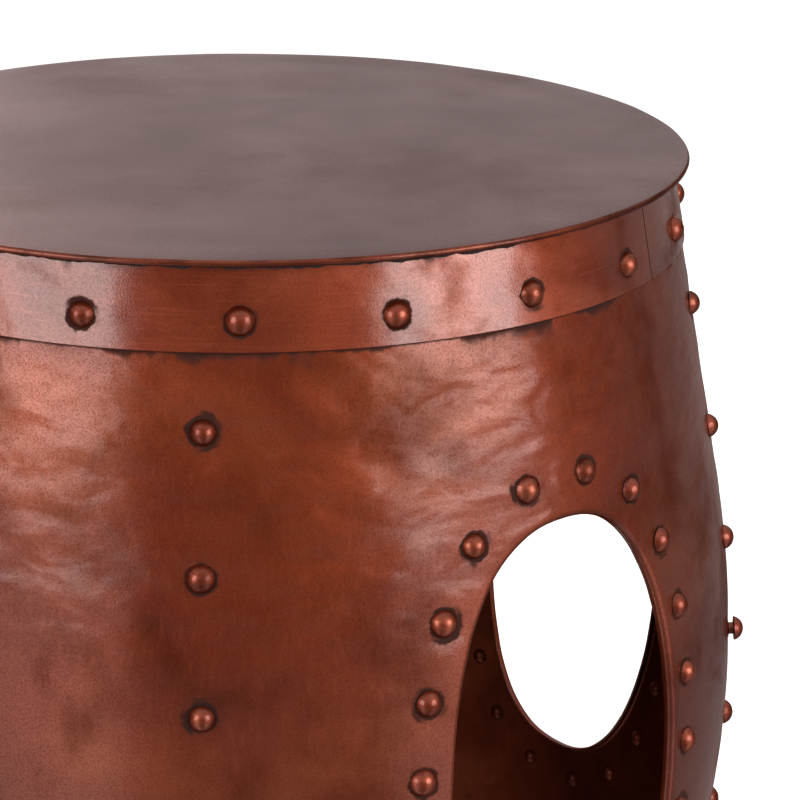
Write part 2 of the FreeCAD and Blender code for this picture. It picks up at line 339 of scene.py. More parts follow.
        colour = addNode(tree, "ShaderNodeMixRGB", [residueAndShade, colour, linear(residueAndShadeLook["colour"])])
        rough = addNode(tree, "ShaderNodeMix", [residueAndShade, None, rough, residueAndShadeLook["roughness"]])
        metals = (look["metallic"], residueAndShadeLook["metallic"])
        metal = addNode(tree, "ShaderNodeMapRange", [residueAndShade, 0.0, 1.0, *metals])
        bare = addNode(tree, "ShaderNodeMapRange", [residueAndShade, 0.0, residueAndShadeLook["bareAt"], 1.0, 0.0])
        lacquer = addNode(tree, "ShaderNodeMath", [lacquer, bare], operation="MULTIPLY")
        tree.links.new(metal.outputs[0], shader.inputs["Metallic"])
        shader.inputs["Specular IOR Level"].default_value = residueAndShadeLook["glint"]
    else:
        shader.inputs["Metallic"].default_value = look["metallic"]
    tree.links.new(lacquer.outputs[0], shader.inputs["Coat Weight"])
    tree.links.new(colour.outputs[0], shader.inputs["Base Color"])
    tree.links.new(rough.outputs[0], shader.inputs["Roughness"])

    # Hammer ripples that come and go, and the grain of the rubbed surface. The lacquer follows both.
    least = look["beatenLeast"]
    beaten = addNode(tree, "ShaderNodeMapRange", [cloud, *markSpan["beaten"], least, 1.0], **smooth)
    if look["calm"]:
        calming = (bellyCalm["calmRise"] * mm, bellyCalm["fullRise"] * mm, bellyCalm["least"], 1.0)
        rippled = addNode(tree, "ShaderNodeMapRange", [rise, *calming], **smooth)
        beaten = addNode(tree, "ShaderNodeMath", [beaten, rippled], operation="MULTIPLY")
    bump = addNode(tree, "ShaderNodeBump", {
        "Strength": beaten, "Height": ripple, "Distance": look["rippleHeight"] * mm})
    bump = addNode(tree, "ShaderNodeBump", {
        "Height": grain, "Distance": look["grainHeight"] * mm, "Normal": bump})
    tree.links.new(bump.outputs[0], shader.inputs["Normal"])
    tree.links.new(bump.outputs[0], shader.inputs["Coat Normal"])
    shader.inputs["Specular Tint"].default_value = linear(look["edgeTint"])
    shader.inputs["Coat Roughness"].default_value = look["coatRoughness"]
    shader.inputs["Coat IOR"].default_value = look["coatIor"]
    return material


# Antiqued copper sheet of the wall: warm red-brown metal with soft hammer marks and a dull lacquer.
# Sizes and heights are in mm, and so are the gaps from a rivet's middle at which its ring of residue and
# painted shade and its smear end, full and none.
wallLook = {
    "tones": ("#541b0c", "#6a2913", "#7e3a20"),
    "toneStops": (0.30, 0.50, 0.72),
    "edgeTint": "#cbb6b3",
    "cloudSize": (95.0, 95.0, 70.0),
    "smokeSize": (46.0, 46.0, 52.0),
    "smokeColour": "#2b160d",
    "smokeDepth": 0.46,
    "smokeRough": 0.10,
    "smokeCoat": 0.3,
    "rippleSize": (19.0, 19.0, 11.0),
    "rippleHeight": 0.85,
    "beatenLeast": 0.5,
    "calm": True,
    "streakSize": (1.6, 1.6, 22.0),
    "streakTone": 0.22,
    "grainSize": (0.65, 0.65, 0.65),  # rubbing scratches are finer, and are drawn this coarse to show
    "grainColour": "#34120a",
    "grainTone": 0.34,
    "grainHeight": 0.03,
    "grainRough": 0.05,
    "grainCoat": 0.5,
    "roughness": (0.53, 0.63),
    "metallic": 1.0,
    "coat": 0.5,
    "coatRoughness": 0.20,
    "coatIor": 1.6,
    "rivetHalo": ((5.6, 6.7), (6.9, 8.2)),
    # Least and most width of the dark strip along the band's edge, in mm: grime, and painted shade under that
    # edge.
    "edgeGrimeAndShade": (0.9, 8.0),
    "grimeAndShadeRise": clearHalf,
    "raggedSize": (4.4, 4.4, 3.8),
    "patchSize": (15.0, 15.0, 15.0),
}
# Satin copper of the bands: smoother and cleaner than the wall, with fine rubbing streaks.
bandLook = dict(
    wallLook,
    tones=("#602312", "#73301b", "#863f28"),
    cloudSize=(60.0, 60.0, 40.0),
    smokeSize=(24.0, 24.0, 22.0),
    smokeDepth=0.28,
    rippleSize=(20.0, 20.0, 16.0),
    rippleHeight=0.45,
    calm=False,
    streakSize=(20.0, 20.0, 0.9),
    streakTone=0.3,
    grainTone=0.32,
    grainCoat=0.3,
    roughness=(0.50, 0.60),
    coat=0.75,
    coatRoughness=0.16,
    rivetHalo=((5.4, 6.3), (6.5, 7.8)),
    edgeGrimeAndShade=(0.3, 4.5),
    grimeAndShadeRise=halfHeight,
)
# Rivets are of the same copper, hammered over and rubbed until their crowns are smooth.
rivetLook = dict(
    wallLook,
    tones=("#5a2012", "#6e2d1a", "#823e28"),
    cloudSize=(9.0, 9.0, 9.0),
    smokeSize=(7.0, 7.0, 7.0),
    smokeDepth=0.5,
    rippleSize=(4.0, 4.0, 4.0),
    rippleHeight=0.10,
    calm=False,
    streakTone=0.05,
    grainTone=0.3,
    grainCoat=0.3,
    roughness=(0.42, 0.50),
    coat=0.32,
    coatRoughness=0.12,
    rivetHalo=None,
)
# The folded rim is rubbed by every hand that lifts the table, so its copper is bare and warm.
rimLook = dict(
    rivetLook,
    tones=("#42160c", "#572313", "#6d321d"),
    cloudSize=(30.0, 30.0, 30.0),
    smokeSize=(16.0, 16.0, 6.0),
    smokeDepth=0.7,
    coat=0.25,
)
# The tabletop was left to brown: a dull mauve film lies over the copper in broad clouds.
topLook = dict(
    wallLook,
    tones=("#5a4241", "#69504f", "#795e5d"),
    toneStops=(0.34, 0.50, 0.66),
    edgeTint="#bcb2b0",
    cloudSize=(110.0, 110.0, 110.0),
    smokeSize=(75.0, 75.0, 75.0),
    smokeColour="#50352f",
    smokeDepth=0.3,
    smokeRough=0.05,
    smokeCoat=0.8,
    rippleSize=(42.0, 42.0, 42.0),
    rippleHeight=0.5,
    calm=False,
    streakTone=0.0,
    grainColour="#46332f",
    grainTone=0.25,
    grainCoat=0.2,
    roughness=(0.34, 0.42),
    coat=0.3,
    coatRoughness=0.32,
    rivetHalo=None,
)
# The inside was never rubbed back: dark oxide with a faint sheen.
insideLook = dict(
    wallLook,
    tones=("#35110a", "#4a1c0f", "#5e2917"),
    roughness=(0.5, 0.62),
    coat=0.1,
    rivetHalo=None,
)

wallCopper = copperFinish("antiquedCopperHammeredSheet", wallLook)
bandCopper = copperFinish("antiquedCopperSatinBand", bandLook)
rivetCopper = copperFinish("antiquedCopperRivet", rivetLook)
rimCopper = copperFinish("rubbedCopperRim", rimLook)
topCopper = copperFinish("brownedCopperSheet", topLook)
insideCopper = copperFinish("oxidisedCopperInside", insideLook)


# A gritty surface: one noise gives both its tone and its bumps.
def grittyFinish(name, look):
    material, tree, shader = newMaterial(name)
    place = addNode(tree, "ShaderNodeTexCoord").outputs["Object"]
    grit = addNode(tree, "ShaderNodeTexNoise", {
        "Vector": place, "Scale": 1 / (look["grit"] * mm), "Detail": look["detail"],
        "Roughness": look["gritRoughness"]})
    colour = addNode(tree, "ShaderNodeValToRGB", [grit], look["tones"])
    tree.links.new(colour.outputs[0], shader.inputs["Base Color"])
    if look["gritHeight"]:
        bump = addNode(tree, "ShaderNodeBump", {"Height": grit, "Distance": look["gritHeight"] * mm})
        tree.links.new(bump.outputs[0], shader.inputs["Normal"])
    shader.inputs["Roughness"].default_value = look["roughness"]
    shader.inputs["Metallic"].default_value = look["metallic"]
    return material


# Blackened solder: a rough crust with grey metal showing at its high spots.
crustLook = {
    "tones": ((0.45, "#0d0807"), (0.66, "#211714"), (0.80, "#54483f")),
    "grit": 1.6,
    "gritHeight": 0.7,
    "gritRoughness": 0.65,
    "detail": 5.0,
    "roughness": 0.7,
    "metallic": 0.3,
}
# Moulded rubber: soft black with the fine pebble of its mould, drawn coarser than it is to show.
padLook = {
    "tones": ((0.35, "#161514"), (0.70, "#2a2827")),
    "grit": 0.8,
    "gritHeight": 0.1,
    "gritRoughness": 0.5,
    "detail": 2.0,
    "roughness": 0.75,
    "metallic": 0.0,
}
# Studio paper: nearly white and matt, with a faint mottle of fibres, drawn coarse enough to show.
paperLook = {
    "tones": ((0.3, "#efeeec"), (0.7, "#f4f3f1")),
    "grit": 2.0,
    "gritHeight": 0.0,
    "gritRoughness": 0.5,
    "detail": 3.0,
    "roughness": 0.85,
    "metallic": 0.0,
}
solderCrust = grittyFinish("blackenedSolderCrust", crustLook)
padRubber = grittyFinish("mouldedBlackRubber", padLook)
floorPaper = grittyFinish("palePaperFloor", paperLook)
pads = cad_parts["floor_pads"]
for index in range(len(pads.data.materials)):
    pads.data.materials[index] = padRubber
print("materials made")


# Where the rivets stand: (angle, rise) of each, the same as in the solids.
rivetLine = {
    "ringCount": 22,
    "ringSideGap": 12.8,
    "ringEndGap": 17.1,
    "ringTurnShare": 0.064,
    "ringSteps": 2001,
    "seamShares": (-0.856, -0.584, -0.324, -0.107, 0.107, 0.324, 0.584, 0.856),
    "bandCount": 20,
    "bandAngle": -1.9,
    "bandRise": 10.7,
}
panelAngle = math.pi / 2
seamAngle = math.radians(drum["seamAngle"])
lapAngle = drum["lapMargin"] * mm / bellyRadius


# Point across and up from an oval's centre for a direction across and up.
def ovalPoint(halfWidth, halfTall, directionAcross, directionUp):
    power = drum["openingExponent"]
    reach = (np.abs(directionAcross) ** power + np.abs(directionUp) ** power) ** (-1 / power)
    return halfWidth * reach * directionAcross, halfTall * reach * directionUp


def ringPlaces():
    halfWidth = (drum["openingWidth"] / 2 + rivetLine["ringSideGap"]) * mm
    halfTall = (drum["openingHeight"] / 2 + rivetLine["ringEndGap"]) * mm
    turn = np.linspace(0, 2 * math.pi, rivetLine["ringSteps"])
    across, up = ovalPoint(halfWidth, halfTall, np.cos(turn), np.sin(turn))
    walked = np.concatenate([[0], np.cumsum(np.hypot(np.diff(across), np.diff(up)))])
    order = np.arange(rivetLine["ringCount"]) + rivetLine["ringTurnShare"]
    goals = walked[-1] * order / rivetLine["ringCount"]
    across = np.interp(goals, walked, across)
    rise = drum["openingRise"] * mm + np.interp(goals, walked, up)
    return np.stack([np.arcsin(across / wallRadius(rise, 0)), rise], axis=1)


def seamPlaces(angle):
    shares = np.array(rivetLine["seamShares"])
    return np.stack([np.full(len(shares), angle), clearHalf * shares], axis=1)


def bandPlaces(side):
    order = np.arange(rivetLine["bandCount"])
    turn = math.radians(rivetLine["bandAngle"]) + 2 * math.pi * order / rivetLine["bandCount"]
    return np.stack([turn, np.full(len(turn), side * (clearHalf + rivetLine["bandRise"] * mm))], axis=1)


# From each point to the nearest rivet.
def toNearest(points, rivetPoints):
    flat = points.reshape(-1, 3)
    gaps = ((flat[:, None, :] - rivetPoints[None, :, :]) ** 2).sum(axis=2)
    return rivetPoints[gaps.argmin(axis=1)] - flat


# The same for the halo around the rivets, as a distance along and up the wall. Past the near gap, in
# mm, the third number is large, so that nothing shows halfway between two rivets.
haloReach = {"near": 13.0, "beyond": 60.0, "least": 0.1}


def haloField(points, rivetPoints):
    flat = points.reshape(-1, 3)
    offset = toNearest(points, rivetPoints)
    gap = np.linalg.norm(offset, axis=1)
    angle = np.arctan2(flat[:, 0], -flat[:, 1])
    along = offset[:, 0] * np.cos(angle) + offset[:, 1] * np.sin(angle)
    grow = gap / np.maximum(np.hypot(along, offset[:, 2]), haloReach["least"] * mm)
    far = np.where(gap > haloReach["near"] * mm, haloReach["beyond"] * mm, 0.0)
    return np.stack([along * grow, offset[:, 2] * grow, far], axis=1)


# How far the hammered wall stands out from the plain barrel: heights and widths of the marks in mm.
# The marks fade out before they reach the bands.
hammer = {
    "dentSize": (85.0, 85.0, 75.0),
    "dentHeight": 0.42,
    "dentShift": 1.7,
    "rippleSize": (27.0, 27.0, 13.0),
    "rippleHeight": 0.38,
    "rippleShift": 4.2,
    "chatterSize": (14.0, 14.0, 9.0),
    "chatterHeight": 0.15,
    "chatterShift": 9.4,
    "fade": 5.0,
    "rivetDimple": 0.30,
    "dimpleReach": 9.0,
}


def hammered(angle, rise, rivetPoints):
    points = wallPoint(angle, rise, 0)
    least = bellyCalm["least"]
    away = smoothStep(bellyCalm["calmRise"] * mm, bellyCalm["fullRise"] * mm, np.abs(rise))
    rippled = least + (1 - least) * away
    height = hammer["dentHeight"] * noiseAt(points, hammer["dentSize"], hammer["dentShift"])
    for mark in ("ripple", "chatter"):
        bumps = noiseAt(points, hammer[mark + "Size"], hammer[mark + "Shift"])
        height += rippled * hammer[mark + "Height"] * bumps
    gap = np.linalg.norm(toNearest(points, rivetPoints), axis=1).reshape(height.shape)
    height -= hammer["rivetDimple"] * np.exp(-((gap / (hammer["dimpleReach"] * mm)) ** 2))
    covered = smoothStep(clearHalf - hammer["fade"] * mm, clearHalf, np.abs(rise))
    return height * mm * (1 - covered)


# Wall panel: rings of quads run from the panel's edges to the opening, roll in around the lip
# and come back along the inner face. The front and back panels cover the tongues of the others. A tongue's
# depths are in sheets, and its root and tip are in lap margins from the panel's edge.
panelMesh = {
    "cellsAcross": 96,
    "cellsUp": 136,
    "rings": 40,
    "lipSteps": 7,
    "crownShare": 0.25,
    "tongueEndGap": 2.0,
    "tongueColumns": 9,
    "tongueRows": 60,
    "tongueDepths": (1.02, 2.0),
    "tongueReach": (-0.5, 2.0),
}


def wallPanel(name, node, centre, covers):
    halfAngle = seamAngle + lapAngle if covers else panelAngle - seamAngle - lapAngle
    seamTurn = seamAngle if covers else panelAngle - seamAngle
    across = np.linspace(-1, 1, panelMesh["cellsAcross"] + 1)[:-1]
    up = np.linspace(-1, 1, panelMesh["cellsUp"] + 1)[:-1]
    wide = np.ones(len(across))
    tall = np.ones(len(up))
    edgeAngle = halfAngle * np.concatenate([across, tall, -across, -tall])
    edgeRise = halfHeight * np.concatenate([-wide, up, wide, -up])

    # The oval, and on it the directions along, out of and away from the opening.
    openingRise = drum["openingRise"] * mm
    sizes = (drum["openingWidth"] / 2 * mm, drum["openingHeight"] / 2 * mm)
    ovalAcross, ovalUp = ovalPoint(*sizes, edgeAngle / halfAngle, (edgeRise - openingRise) / halfHeight)
    ovalRise = openingRise + ovalUp
    ovalAngle = np.arcsin(ovalAcross / wallRadius(ovalRise, 0))
    corner = wallPoint(ovalAngle, ovalRise, 0)
    normal = wallNormal(ovalAngle, ovalRise)
    along = np.roll(corner, -1, axis=0) - np.roll(corner, 1, axis=0)
    away = np.cross(along, normal)
    away /= np.linalg.norm(away, axis=1)[:, None]
    inward = np.array([0.0, 1.0, 0.0])

    # Lip: an arc between the wall and the straight collar.
    lipRadius = drum["lipRadius"] * mm
    bend = np.arccos(np.clip(away @ inward, -1, 1))[:, None]
    start = corner + away * lipRadius / np.tan(bend / 2)
    stop = corner + inward * lipRadius / np.tan(bend / 2)
    middle = away + inward
    middle /= np.linalg.norm(middle, axis=1)[:, None]
    centreLine = corner + middle * lipRadius / np.sin(bend / 2)
    fromStart = start - centreLine
    fromStop = stop - centreLine
    sweep = math.pi - bend
    startAngle = np.arctan2(start[:, 0], -start[:, 1])
    startRise = start[:, 2] - midHeight

    places = np.concatenate([ringPlaces(), seamPlaces(-seamTurn), seamPlaces(seamTurn)])
    rivetPoints = wallPoint(places[:, 0], places[:, 1], 0)

    # Hammering follows the whole drum, so it is worked out at the panel's own turn.
    turnBack = np.array(Matrix.Rotation(centre, 3, "Z"))
    worldRivets = rivetPoints @ turnBack.T
    share = np.linspace(0, 1, panelMesh["rings"])[:, None]
    angles = startAngle + (edgeAngle - startAngle) * share
    rises = startRise + (edgeRise - startRise) * share
    lift = hammered(angles + centre, rises, worldRivets)
    outer = wallPoint(angles, rises, 0) + wallNormal(angles, rises) * lift[..., None]
    inner = wallPoint(angles, rises, sheet) + wallNormal(angles, rises) * lift[..., None]
    shift = normal * lift[0][:, None]
    outer[0] = start + shift

    def lipArc(scale):
        steps = np.linspace(0, 1, panelMesh["lipSteps"] + 1)[:, None, None]
        first = np.sin((1 - steps) * sweep) / np.sin(sweep) * fromStart
        last = np.sin(steps * sweep) / np.sin(sweep) * fromStop
        return centreLine + shift + scale * (first + last)

    collar = away - (away @ inward)[:, None] * inward
    collar /= np.linalg.norm(collar, axis=1)[:, None]
    lipEnd = corner + shift + inward * drum["lipDepth"] * mm
    lipCrown = lipEnd + collar * sheet / 2 + inward * sheet * panelMesh["crownShare"]
    innerArc = lipArc(1 - sheet / lipRadius)[::-1]
    inner[0] = innerArc[-1]
    rows = [outer[::-1], lipArc(1.0)[1:], lipEnd[None], lipCrown[None], (lipEnd + collar * sheet)[None],
            innerArc[:-1], inner]
    points = np.concatenate(rows)
    outerRows = panelMesh["rings"] + panelMesh["lipSteps"] + 1
    count = len(edgeAngle)
    faces = gridFaces(len(points), count, True, True)
    slots = np.repeat((np.arange(len(points)) >= outerRows).astype(int), count)

    # Tongues: the joggled strips under the neighbours' edges.
    allPoints = [points.reshape(-1, 3)]
    columns = panelMesh["tongueColumns"]
    tongueTop = clearHalf - panelMesh["tongueEndGap"] * mm
    rises = np.linspace(-tongueTop, tongueTop, panelMesh["tongueRows"])[:, None]
    root, tip = (halfAngle + laps * lapAngle for laps in panelMesh["tongueReach"])
    face, back = (depth * sheet for depth in panelMesh["tongueDepths"])
    for turn in () if covers else (1, -1):
        turns = turn * np.linspace(root, tip, columns)[None, :]
        loop = np.concatenate([wallPoint(turns, rises, face), wallPoint(turns, rises[::-1], back)])
        first = sum(len(part) for part in allPoints)
        faces += gridFaces(len(loop), columns, True, False, first)
        faces += endFaces(len(loop), columns, first)
        allPoints.append(loop.reshape(-1, 3))
    allPoints = np.concatenate(allPoints)
    slots = np.concatenate([slots, np.ones(len(faces) - len(slots), int)])
    addPiece(name, node, allPoints @ turnBack.T, faces, [wallCopper, insideCopper], slots,
             haloField(allPoints, rivetPoints))


panelSides = ("front", "right", "back", "left")
for index, side in enumerate(panelSides):
    wallPanel("wallPanel." + side, "wall_panel_" + side, index * panelAngle, side in ("front", "back"))
print("wall panels made")


# Bands: hoops with a butt seam, a little wavy where the rivets pull them in.
bandMesh = {
    "seamAngle": 22.1,
    "seamGap": 0.6,
    "segments": 480,
    "rows": 14,
    "edgeRound": 0.35,
    "waveSize": (55.0, 55.0, 40.0),
    "waveHeight": 0.22,
    "waveShift": 6.3,
    "rivetPull": 0.18,
    "pullReach": 10.0,
}


def endBand(name, node, side):
    gap = bandMesh["seamGap"] * mm / bandRadius
    start = math.radians(bandMesh["seamAngle"]) + gap / 2
    angles = np.linspace(start, start + 2 * math.pi - gap, bandMesh["segments"] + 1)
    edge = bandMesh["edgeRound"] * mm
    flat = np.linspace(clearHalf + edge, halfHeight - edge, bandMesh["rows"])
    rises = np.concatenate([[clearHalf], flat, [halfHeight]])
    depths = np.full(len(rises), -sheet)
    depths[[0, -1]] += edge
    depths = np.concatenate([depths, np.zeros(len(rises))])
    rises = np.concatenate([rises, rises[::-1]]) * side
    radii = [wallRadius(rise, depth) for rise, depth in zip(rises, depths)]
    points = turnSection(np.stack([radii, midHeight + rises], axis=1), angles)
    rivets = bandPlaces(side)
    rivetPoints = wallPoint(rivets[:, 0], rivets[:, 1], -sheet)
    reach = np.linalg.norm(toNearest(points, rivetPoints), axis=1).reshape(points.shape[:2])
    wave = (noiseAt(points, bandMesh["waveSize"], bandMesh["waveShift"]) * 0.5 + 0.5) * bandMesh["waveHeight"]
    wave -= bandMesh["rivetPull"] * np.exp(-((reach / (bandMesh["pullReach"] * mm)) ** 2))
    points += wallNormal(angles[None, :], rises[:, None]) * np.maximum(wave, 0)[..., None] * mm
    faces = gridFaces(len(rises), len(angles), True, False) + endFaces(len(rises), len(angles))
    addPiece(name, node, points, faces, [bandCopper], None, haloField(points, rivetPoints))


endBand("endBand.top", "top_band", 1)
endBand("endBand.bottom", "bottom_band", -1)
print("bands made")


# Rivets: domed head, shank and peened tail in one turned shape, each a little different.
rivetShape = {
    "headRadius": 5.1,
    "headHeight": 3.9,
    "headSteps": 9,
    "neckInset": 0.15,
    "neckDepths": (0.18, 0.2),
    "shankRadius": 2.5,
    "tailRadius": 3.8,
    "tailHeight": 2.0,
    "tailGap": 0.05,
    "tailSteps": 5,
    "crownShare": 0.04,
    "segments": 28,
    "crease": 50.0,
    "sink": 0.12,
    "sizeSpread": 0.035,
    "tiltSpread": 2.5,
    "shiftSpread": 0.35,
    "lumpSize": (4.5, 4.5, 4.5),
    "lumpHeight": 0.10,
    "lumpStep": 50.0,
}


def rivetSection(grip):
    def cap(radius, height, steps):
        ball = (radius**2 + height**2) / (2 * height)
        opening = math.atan2(radius, ball - height)
        turn = np.linspace(rivetShape["crownShare"], 1, steps) * opening
        return np.stack([ball * np.sin(turn), height - ball + ball * np.cos(turn)], axis=1)

    head = cap(rivetShape["headRadius"], rivetShape["headHeight"], rivetShape["headSteps"])
    tail = cap(rivetShape["tailRadius"], rivetShape["tailHeight"], rivetShape["tailSteps"])[::-1]
    seat = -grip - rivetShape["tailGap"]
    tail[:, 1] = seat - tail[:, 1]
    rim, under = rivetShape["neckDepths"]
    shank = rivetShape["shankRadius"]
    neck = [[rivetShape["headRadius"] - rivetShape["neckInset"], -rim], [shank, -under], [shank, seat]]
    return np.concatenate([head, neck, tail]) * mm


# Proud is a dictionary of how far a rivet stands out of its seat, in mm, by its place in the group.
def rivetGroup(name, node, places, grip, depth, proud=None):
    section = rivetSection(grip / mm)
    turn = np.linspace(0, 2 * math.pi, rivetShape["segments"] + 1)[:-1]
    count = len(section) * len(turn)
    headRows = rivetShape["headSteps"] + 2
    points = []
    faces = []
    slots = []
    for index, (angle, rise) in enumerate(places):
        size = 1 + rng.normal(0, rivetShape["sizeSpread"])
        shape = turnSection(section, turn)
        shape[..., :2] *= size
        apart = index * (rivetShape["lumpStep"] * mm)
        lumps = noiseAt(shape + apart, rivetShape["lumpSize"]) * rivetShape["lumpHeight"] * mm
        shape *= (1 + lumps / np.linalg.norm(shape, axis=-1))[..., None]
        tilt = rng.normal(0, math.radians(rivetShape["tiltSpread"]), 2)
        shift = rng.normal(0, rivetShape["shiftSpread"] * mm, 2)
        lean = Matrix.Rotation(tilt[0], 3, "X") @ Matrix.Rotation(tilt[1], 3, "Y")
        out = Vector(wallNormal(angle, rise))
        side = Vector((math.cos(angle), math.sin(angle), 0))
        turnTo = Matrix((side, out.cross(side), out)).transposed() @ lean
        lift = -rivetShape["sink"] * mm + (proud or {}).get(index, 0.0) * mm
        spot = wallPoint(angle + shift[0] / bellyRadius, rise + shift[1], depth) + np.array(out) * lift
        points.append(shape.reshape(-1, 3) @ np.array(turnTo).T + spot)
        first = index * count
        faces += gridFaces(len(section), len(turn), False, True, first)
        faces.append(list(range(first, first + len(turn))))
        faces.append(list(range(first + count - len(turn), first + count)))
        slots += [0] * (headRows * len(turn)) + [1] * ((len(section) - 1 - headRows) * len(turn)) + [0, 1]
    addPiece(name, node, np.concatenate(points), faces, [rivetCopper, insideCopper], slots,
             crease=rivetShape["crease"])


# One rivet of the front right seam has worked loose and stands proud by this much in mm.
looseRivet = {"seam": "front_right", "place": 4, "proud": 2.3}
for side, word in ((1, "top"), (-1, "bottom")):
    rivetGroup("bandRivets." + word, word + "_band_rivets", bandPlaces(side), 2 * sheet, -sheet)
for index, side in enumerate(panelSides):
    places = ringPlaces() + [index * panelAngle, 0]
    rivetGroup("openingRivets." + side, "opening_rivets_" + side, places, sheet, 0)
seamTurns = {"front_left": -seamAngle, "front_right": seamAngle,
             "back_right": math.pi - seamAngle, "back_left": math.pi + seamAngle}
for seam, turn in seamTurns.items():
    proud = {looseRivet["place"]: looseRivet["proud"]} if seam == looseRivet["seam"] else None
    rivetGroup("seamRivets." + seam, "seam_rivets_" + seam, seamPlaces(turn), 2 * sheet, 0, proud)
print("rivets made")


# Tabletop and base ring: sheet with its rim folded under into a round hem. Edges are distances from the
# rim in mm: the plate dips between waves inside flatEdge, and the hem wobbles outside rimEdge.
hem = {
    "centreRadius": 1.5,
    "segments": 360,
    "rings": 46,
    "rimSteps": 10,
    "slitStride": 3,
    "waveSize": (110.0, 110.0, 110.0),
    "waveHeight": 0.35,
    "waveShift": 2.9,
    "flatEdge": (22.0, 9.0),
    "rimWaveSize": (48.0, 48.0, 48.0),
    "rimWave": 0.28,
    "rimWaveShift": 7.7,
    "rimEdge": (12.0, 2.0),
}


def hemmedPlate(name, node, side, innerRadius, material):
    rings = hem["rings"]
    slit = drum["hemSlit"] * mm
    fold = rimRadius - hemThickness / 2
    back = float(wallRadius(halfHeight, sheet)) - drum["hemSeat"] * mm
    turn = np.linspace(math.pi / 2, -math.pi / 2, hem["rimSteps"])
    slitTurn = turn[::-hem["slitStride"]]
    face = np.stack([np.linspace(innerRadius, fold, rings), np.zeros(rings)], axis=1)
    bead = np.stack([fold + hemThickness / 2 * np.cos(turn), hemThickness / 2 * (np.sin(turn) - 1)], axis=1)
    under = [[back, -hemThickness], [back, -hemThickness + sheet]]
    crease = np.stack([fold + slit / 2 * np.cos(slitTurn),
                       slit / 2 * np.sin(slitTurn) - hemThickness / 2], axis=1)
    reverse = np.stack([np.linspace(fold, innerRadius, rings)[1:], np.full(rings - 1, -sheet)], axis=1)
    section = np.concatenate([face[:-1], bead, under, crease, reverse])
    section[:, 1] = (tableTop if side > 0 else padHeight) + side * section[:, 1]
    angles = np.linspace(0, 2 * math.pi, hem["segments"] + 1)[:-1]
    points = turnSection(section, angles)

    # The plate dips a little between its waves and the hem wobbles, but neither goes past its place.
    radius = section[:, 0][:, None]
    flatStart, flatEnd = (rimRadius - edge * mm for edge in hem["flatEdge"])
    rimStart, rimEnd = (rimRadius - edge * mm for edge in hem["rimEdge"])
    dip = (noiseAt(points, hem["waveSize"], hem["waveShift"]) * 0.5 - 0.5) * hem["waveHeight"] * mm
    points[..., 2] += side * dip * (1 - smoothStep(flatStart, flatEnd, radius))
    wobble = noiseAt(points, hem["rimWaveSize"], hem["rimWaveShift"]) * hem["rimWave"] * mm
    wobble *= smoothStep(rimStart, rimEnd, radius)
    points[..., :2] *= (1 + wobble / np.maximum(radius, mm))[..., None]
    points[..., 2] -= side * np.abs(wobble)

    rows = len(section)
    count = len(angles)
    isRing = innerRadius > hem["centreRadius"] * mm
    faces = gridFaces(rows, count, isRing, True)
    rowSlots = np.full(rows, 2)
    rowSlots[:rings] = 0
    rowSlots[rings:rings + hem["rimSteps"] - 1] = 1
    slots = np.repeat(rowSlots, count)
    if not isRing:
        faces.append(list(range(count)))
        faces.append(list(range((rows - 1) * count, rows * count)))
        slots = np.concatenate([slots[:-count], [0, 2]])
    addPiece(name, node, points, faces, [material, rimCopper, insideCopper], slots)


hemmedPlate("tabletop.sheet", "tabletop", 1, hem["centreRadius"] * mm, topCopper)
baseHole = float(wallRadius(halfHeight, sheet)) - drum["baseLand"] * mm
hemmedPlate("baseRing.sheet", "base_ring", -1, baseHole, insideCopper)
print("tabletop and base ring made")


# Solder runs in the corners between the bands and the hems, lumpy where they were wiped and heavier on
# one stretch of the top. The section is in shares of the leg, out along the hem and down the band.
solder = {
    "leg": 2.1,
    "leastLeg": 0.6,
    "clearance": 0.02,
    "overhangShare": 0.7,
    "segments": 720,
    "lumpSize": (6.0, 6.0, 6.0),
    "lumpShift": 5.1,
    "beadSize": (2.0, 2.0, 2.0),
    "beadShift": 3.3,
    "beadShare": 0.5,
    "spread": 0.36,
    "heavyAngle": -13.0,
    "heavyHalf": 11.0,
    "heavyFadeShare": 0.7,
    "heavyMore": 0.15,
    "section": ((0.0, 0.0), (0.0, 1.0), (0.30, 0.62), (0.55, 0.40), (1.0, 0.0)),
}


def solderRun(name, node, side):
    angles = np.linspace(0, 2 * math.pi, solder["segments"] + 1)[:-1]
    corner = wallPoint(angles, halfHeight, -sheet)
    lumps = noiseAt(corner, solder["lumpSize"], solder["lumpShift"])
    lumps += solder["beadShare"] * noiseAt(corner, solder["beadSize"], solder["beadShift"])
    off = np.abs((np.degrees(angles) - solder["heavyAngle"] + 180) % 360 - 180)
    light = smoothStep(solder["heavyHalf"] * solder["heavyFadeShare"], solder["heavyHalf"], off)
    heavy = 1 + solder["heavyMore"] * (1 - light) * (side > 0)
    leg = solder["leg"] * mm * (1 + solder["spread"] * lumps) * heavy
    leg = np.maximum(leg, solder["leastLeg"] * mm)
    widest = drum["rimOverhang"] * mm * solder["overhangShare"]
    rows = []
    for outShare, downShare in solder["section"]:
        rise = halfHeight - leg * downShare
        radius = wallRadius(rise, -sheet) + np.minimum(leg * outShare, widest) + solder["clearance"] * mm
        rows.append(around(angles, radius, midHeight + side * rise))
    faces = gridFaces(len(rows), len(angles), True, True)
    addPiece(name, node, np.stack(rows), faces, [solderCrust])


solderRun("solderRun.top", "top_solder", 1)
solderRun("solderRun.bottom", "bottom_solder", -1)
print("solder made")


